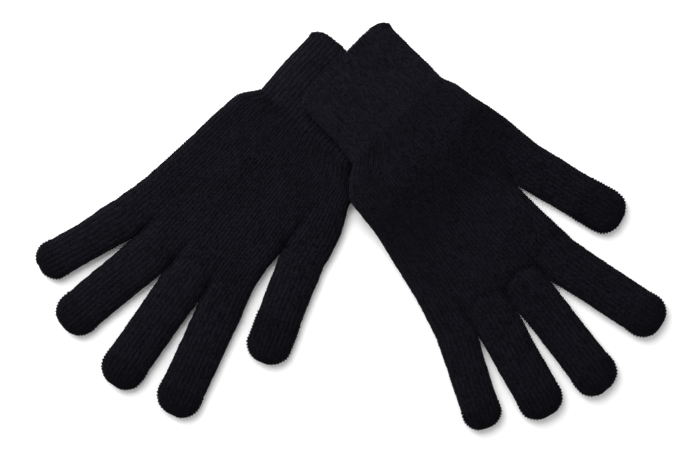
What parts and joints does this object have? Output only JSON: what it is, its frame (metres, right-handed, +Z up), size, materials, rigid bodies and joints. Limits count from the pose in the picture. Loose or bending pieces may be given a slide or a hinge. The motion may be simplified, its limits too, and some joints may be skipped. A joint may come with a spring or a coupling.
{
  "type": "touchscreen gloves",
  "caption": "Knitted touchscreen gloves, a pair laid flat with crossed ribbed cuffs; hollow fingers fold at their joints and end in conductive tips.",
  "frame": {"origin": "middle of the pair's bounding box, on the table", "axes": "+X from the left glove towards the right one, +Y from the fingers towards the crossed cuffs, +Z up off the table"},
  "size_m": [0.3303, 0.2144, 0.0183],
  "materials": {
    "plain_knit": "fine plain knit, matte",
    "ribbed_knit": "fine ribbed knit, matte",
    "touch_knit": "plain knit with conductive thread, matte",
    "elastic_band": "covered elastic, matte"
  },
  "bodies": {
    "left_cuff_body": {"left_cuff": "ribbed_knit", "left_cuff_hem": "ribbed_knit", "left_cuff_elastic": "elastic_band", "left_wrist": "plain_knit"},
    "left_hand_body": {"left_hand": "plain_knit"},
    "left_thumb_base_body": {"left_thumb_base": "plain_knit"},
    "left_thumb_touch_tip_body": {"left_thumb_touch_tip": "touch_knit"},
    "left_index_base_body": {"left_index_base": "plain_knit"},
    "left_index_middle_body": {"left_index_middle": "plain_knit"},
    "left_index_touch_tip_body": {"left_index_touch_tip": "touch_knit"},
    "left_middle_base_body": {"left_middle_base": "plain_knit"},
    "left_middle_middle_body": {"left_middle_middle": "plain_knit"},
    "left_middle_touch_tip_body": {"left_middle_touch_tip": "touch_knit"},
    "left_ring_base_body": {"left_ring_base": "plain_knit"},
    "left_ring_middle_body": {"left_ring_middle": "plain_knit"},
    "left_ring_touch_tip_body": {"left_ring_touch_tip": "touch_knit"},
    "left_pinky_base_body": {"left_pinky_base": "plain_knit"},
    "left_pinky_middle_body": {"left_pinky_middle": "plain_knit"},
    "left_pinky_touch_tip_body": {"left_pinky_touch_tip": "touch_knit"},
    "right_cuff_body": {"right_cuff": "ribbed_knit", "right_cuff_hem": "ribbed_knit", "right_cuff_elastic": "elastic_band", "right_wrist": "plain_knit"},
    "right_hand_body": {"right_hand": "plain_knit"},
    "right_thumb_base_body": {"right_thumb_base": "plain_knit"},
    "right_thumb_touch_tip_body": {"right_thumb_touch_tip": "touch_knit"},
    "right_index_base_body": {"right_index_base": "plain_knit"},
    "right_index_middle_body": {"right_index_middle": "plain_knit"},
    "right_index_touch_tip_body": {"right_index_touch_tip": "touch_knit"},
    "right_middle_base_body": {"right_middle_base": "plain_knit"},
    "right_middle_middle_body": {"right_middle_middle": "plain_knit"},
    "right_middle_touch_tip_body": {"right_middle_touch_tip": "touch_knit"},
    "right_ring_base_body": {"right_ring_base": "plain_knit"},
    "right_ring_middle_body": {"right_ring_middle": "plain_knit"},
    "right_ring_touch_tip_body": {"right_ring_touch_tip": "touch_knit"},
    "right_pinky_base_body": {"right_pinky_base": "plain_knit"},
    "right_pinky_middle_body": {"right_pinky_middle": "plain_knit"},
    "right_pinky_touch_tip_body": {"right_pinky_touch_tip": "touch_knit"}
  },
  "joints": [
    {"name": "left_wrist_fold", "type": "hinge", "parent": "left_cuff_body", "child": "left_hand_body", "pos_m": [-0.03256, 0.03869, 0.009], "axis": [-0.7361, 0.6769, 0], "range_deg": [0, 60]},
    {"name": "left_thumb_root_fold", "type": "hinge", "parent": "left_hand_body", "child": "left_thumb_base_body", "pos_m": [-0.02621, -0.01836, 0.009], "axis": [-0.9348, 0.3551, 0], "range_deg": [0, 55]},
    {"name": "left_thumb_tip_fold", "type": "hinge", "parent": "left_thumb_base_body", "child": "left_thumb_touch_tip_body", "pos_m": [-0.03765, -0.04846, 0.009], "axis": [-0.9348, 0.3551, 0], "range_deg": [0, 60]},
    {"name": "left_index_root_fold", "type": "hinge", "parent": "left_hand_body", "child": "left_index_base_body", "pos_m": [-0.06819, -0.04218, 0.009], "axis": [-0.9092, 0.4163, 0], "range_deg": [0, 60]},
    {"name": "left_index_middle_fold", "type": "hinge", "parent": "left_index_base_body", "child": "left_index_middle_body", "pos_m": [-0.07921, -0.06624, 0.009], "axis": [-0.9092, 0.4163, 0], "range_deg": [0, 60]},
    {"name": "left_index_tip_fold", "type": "hinge", "parent": "left_index_middle_body", "child": "left_index_touch_tip_body", "pos_m": [-0.08813, -0.08571, 0.009], "axis": [-0.9092, 0.4163, 0], "range_deg": [0, 40]},
    {"name": "left_middle_root_fold", "type": "hinge", "parent": "left_hand_body", "child": "left_middle_base_body", "pos_m": [-0.08861, -0.03053, 0.009], "axis": [-0.8211, 0.5707, 0], "range_deg": [0, 60]},
    {"name": "left_middle_middle_fold", "type": "hinge", "parent": "left_middle_base_body", "child": "left_middle_middle_body", "pos_m": [-0.10407, -0.05278, 0.009], "axis": [-0.8211, 0.5707, 0], "range_deg": [0, 60]},
    {"name": "left_middle_tip_fold", "type": "hinge", "parent": "left_middle_middle_body", "child": "left_middle_touch_tip_body", "pos_m": [-0.11659, -0.07078, 0.009], "axis": [-0.8211, 0.5707, 0], "range_deg": [0, 40]},
    {"name": "left_ring_root_fold", "type": "hinge", "parent": "left_hand_body", "child": "left_ring_base_body", "pos_m": [-0.10586, -0.01473, 0.009], "axis": [-0.6401, 0.7683, 0], "range_deg": [0, 60]},
    {"name": "left_ring_middle_fold", "type": "hinge", "parent": "left_ring_base_body", "child": "left_ring_middle_body", "pos_m": [-0.12505, -0.03073, 0.009], "axis": [-0.6401, 0.7683, 0], "range_deg": [0, 60]},
    {"name": "left_ring_tip_fold", "type": "hinge", "parent": "left_ring_middle_body", "child": "left_ring_touch_tip_body", "pos_m": [-0.1406, -0.04368, 0.009], "axis": [-0.6401, 0.7683, 0], "range_deg": [0, 40]},
    {"name": "left_pinky_root_fold", "type": "hinge", "parent": "left_hand_body", "child": "left_pinky_base_body", "pos_m": [-0.11842, 0.00322, 0.009], "axis": [-0.4909, 0.8712, 0], "range_deg": [0, 60]},
    {"name": "left_pinky_middle_fold", "type": "hinge", "parent": "left_pinky_base_body", "child": "left_pinky_middle_body", "pos_m": [-0.13744, -0.0075, 0.009], "axis": [-0.4909, 0.8712, 0], "range_deg": [0, 60]},
    {"name": "left_pinky_tip_fold", "type": "hinge", "parent": "left_pinky_middle_body", "child": "left_pinky_touch_tip_body", "pos_m": [-0.15285, -0.01618, 0.009], "axis": [-0.4909, 0.8712, 0], "range_deg": [0, 40]},
    {"name": "right_glove_lift", "type": "slide", "parent": "left_cuff_body", "child": "right_cuff_body", "axis": [0, 0, 1], "range_m": [0, 0.15]},
    {"name": "right_wrist_fold", "type": "hinge", "parent": "right_cuff_body", "child": "right_hand_body", "pos_m": [0.03041, 0.04047, 0.0183], "axis": [-0.7145, -0.6997, 0], "range_deg": [0, 60]},
    {"name": "right_thumb_root_fold", "type": "hinge", "parent": "right_hand_body", "child": "right_thumb_base_body", "pos_m": [0.09235, 0.03169, 0.009], "axis": [-0.5105, -0.8599, 0], "range_deg": [0, 55]},
    {"name": "right_thumb_tip_fold", "type": "hinge", "parent": "right_thumb_base_body", "child": "right_thumb_touch_tip_body", "pos_m": [0.12004, 0.01525, 0.009], "axis": [-0.5105, -0.8599, 0], "range_deg": [0, 60]},
    {"name": "right_index_root_fold", "type": "hinge", "parent": "right_hand_body", "child": "right_index_base_body", "pos_m": [0.11034, -0.01803, 0.009], "axis": [-0.5505, -0.8348, 0], "range_deg": [0, 60]},
    {"name": "right_index_middle_fold", "type": "hinge", "parent": "right_index_base_body", "child": "right_index_middle_body", "pos_m": [0.13243, -0.03259, 0.009], "axis": [-0.5505, -0.8348, 0], "range_deg": [0, 60]},
    {"name": "right_index_tip_fold", "type": "hinge", "parent": "right_index_middle_body", "child": "right_index_touch_tip_body", "pos_m": [0.15031, -0.04438, 0.009], "axis": [-0.5505, -0.8348, 0], "range_deg": [0, 40]},
    {"name": "right_middle_root_fold", "type": "hinge", "parent": "right_hand_body", "child": "right_middle_base_body", "pos_m": [0.09452, -0.03511, 0.009], "axis": [-0.7902, -0.6129, 0], "range_deg": [0, 60]},
    {"name": "right_middle_middle_fold", "type": "hinge", "parent": "right_middle_base_body", "child": "right_middle_middle_body", "pos_m": [0.11112, -0.05652, 0.009], "axis": [-0.7902, -0.6129, 0], "range_deg": [0, 60]},
    {"name": "right_middle_tip_fold", "type": "hinge", "parent": "right_middle_middle_body", "child": "right_middle_touch_tip_body", "pos_m": [0.12456, -0.07384, 0.009], "axis": [-0.7902, -0.6129, 0], "range_deg": [0, 40]},
    {"name": "right_ring_root_fold", "type": "hinge", "parent": "right_hand_body", "child": "right_ring_base_body", "pos_m": [0.07491, -0.04813, 0.009], "axis": [-0.8712, -0.4909, 0], "range_deg": [0, 60]},
    {"name": "right_ring_middle_fold", "type": "hinge", "parent": "right_ring_base_body", "child": "right_ring_middle_body", "pos_m": [0.08718, -0.06991, 0.009], "axis": [-0.8712, -0.4909, 0], "range_deg": [0, 60]},
    {"name": "right_ring_tip_fold", "type": "hinge", "parent": "right_ring_middle_body", "child": "right_ring_touch_tip_body", "pos_m": [0.09711, -0.08753, 0.009], "axis": [-0.8712, -0.4909, 0], "range_deg": [0, 40]},
    {"name": "right_pinky_root_fold", "type": "hinge", "parent": "right_hand_body", "child": "right_pinky_base_body", "pos_m": [0.05495, -0.05715, 0.009], "axis": [-0.9489, -0.3156, 0], "range_deg": [0, 60]},
    {"name": "right_pinky_middle_fold", "type": "hinge", "parent": "right_pinky_base_body", "child": "right_pinky_middle_body", "pos_m": [0.06185, -0.07787, 0.009], "axis": [-0.9489, -0.3156, 0], "range_deg": [0, 60]},
    {"name": "right_pinky_tip_fold", "type": "hinge", "parent": "right_pinky_middle_body", "child": "right_pinky_touch_tip_body", "pos_m": [0.06743, -0.09465, 0.009], "axis": [-0.9489, -0.3156, 0], "range_deg": [0, 40]}
  ]
}
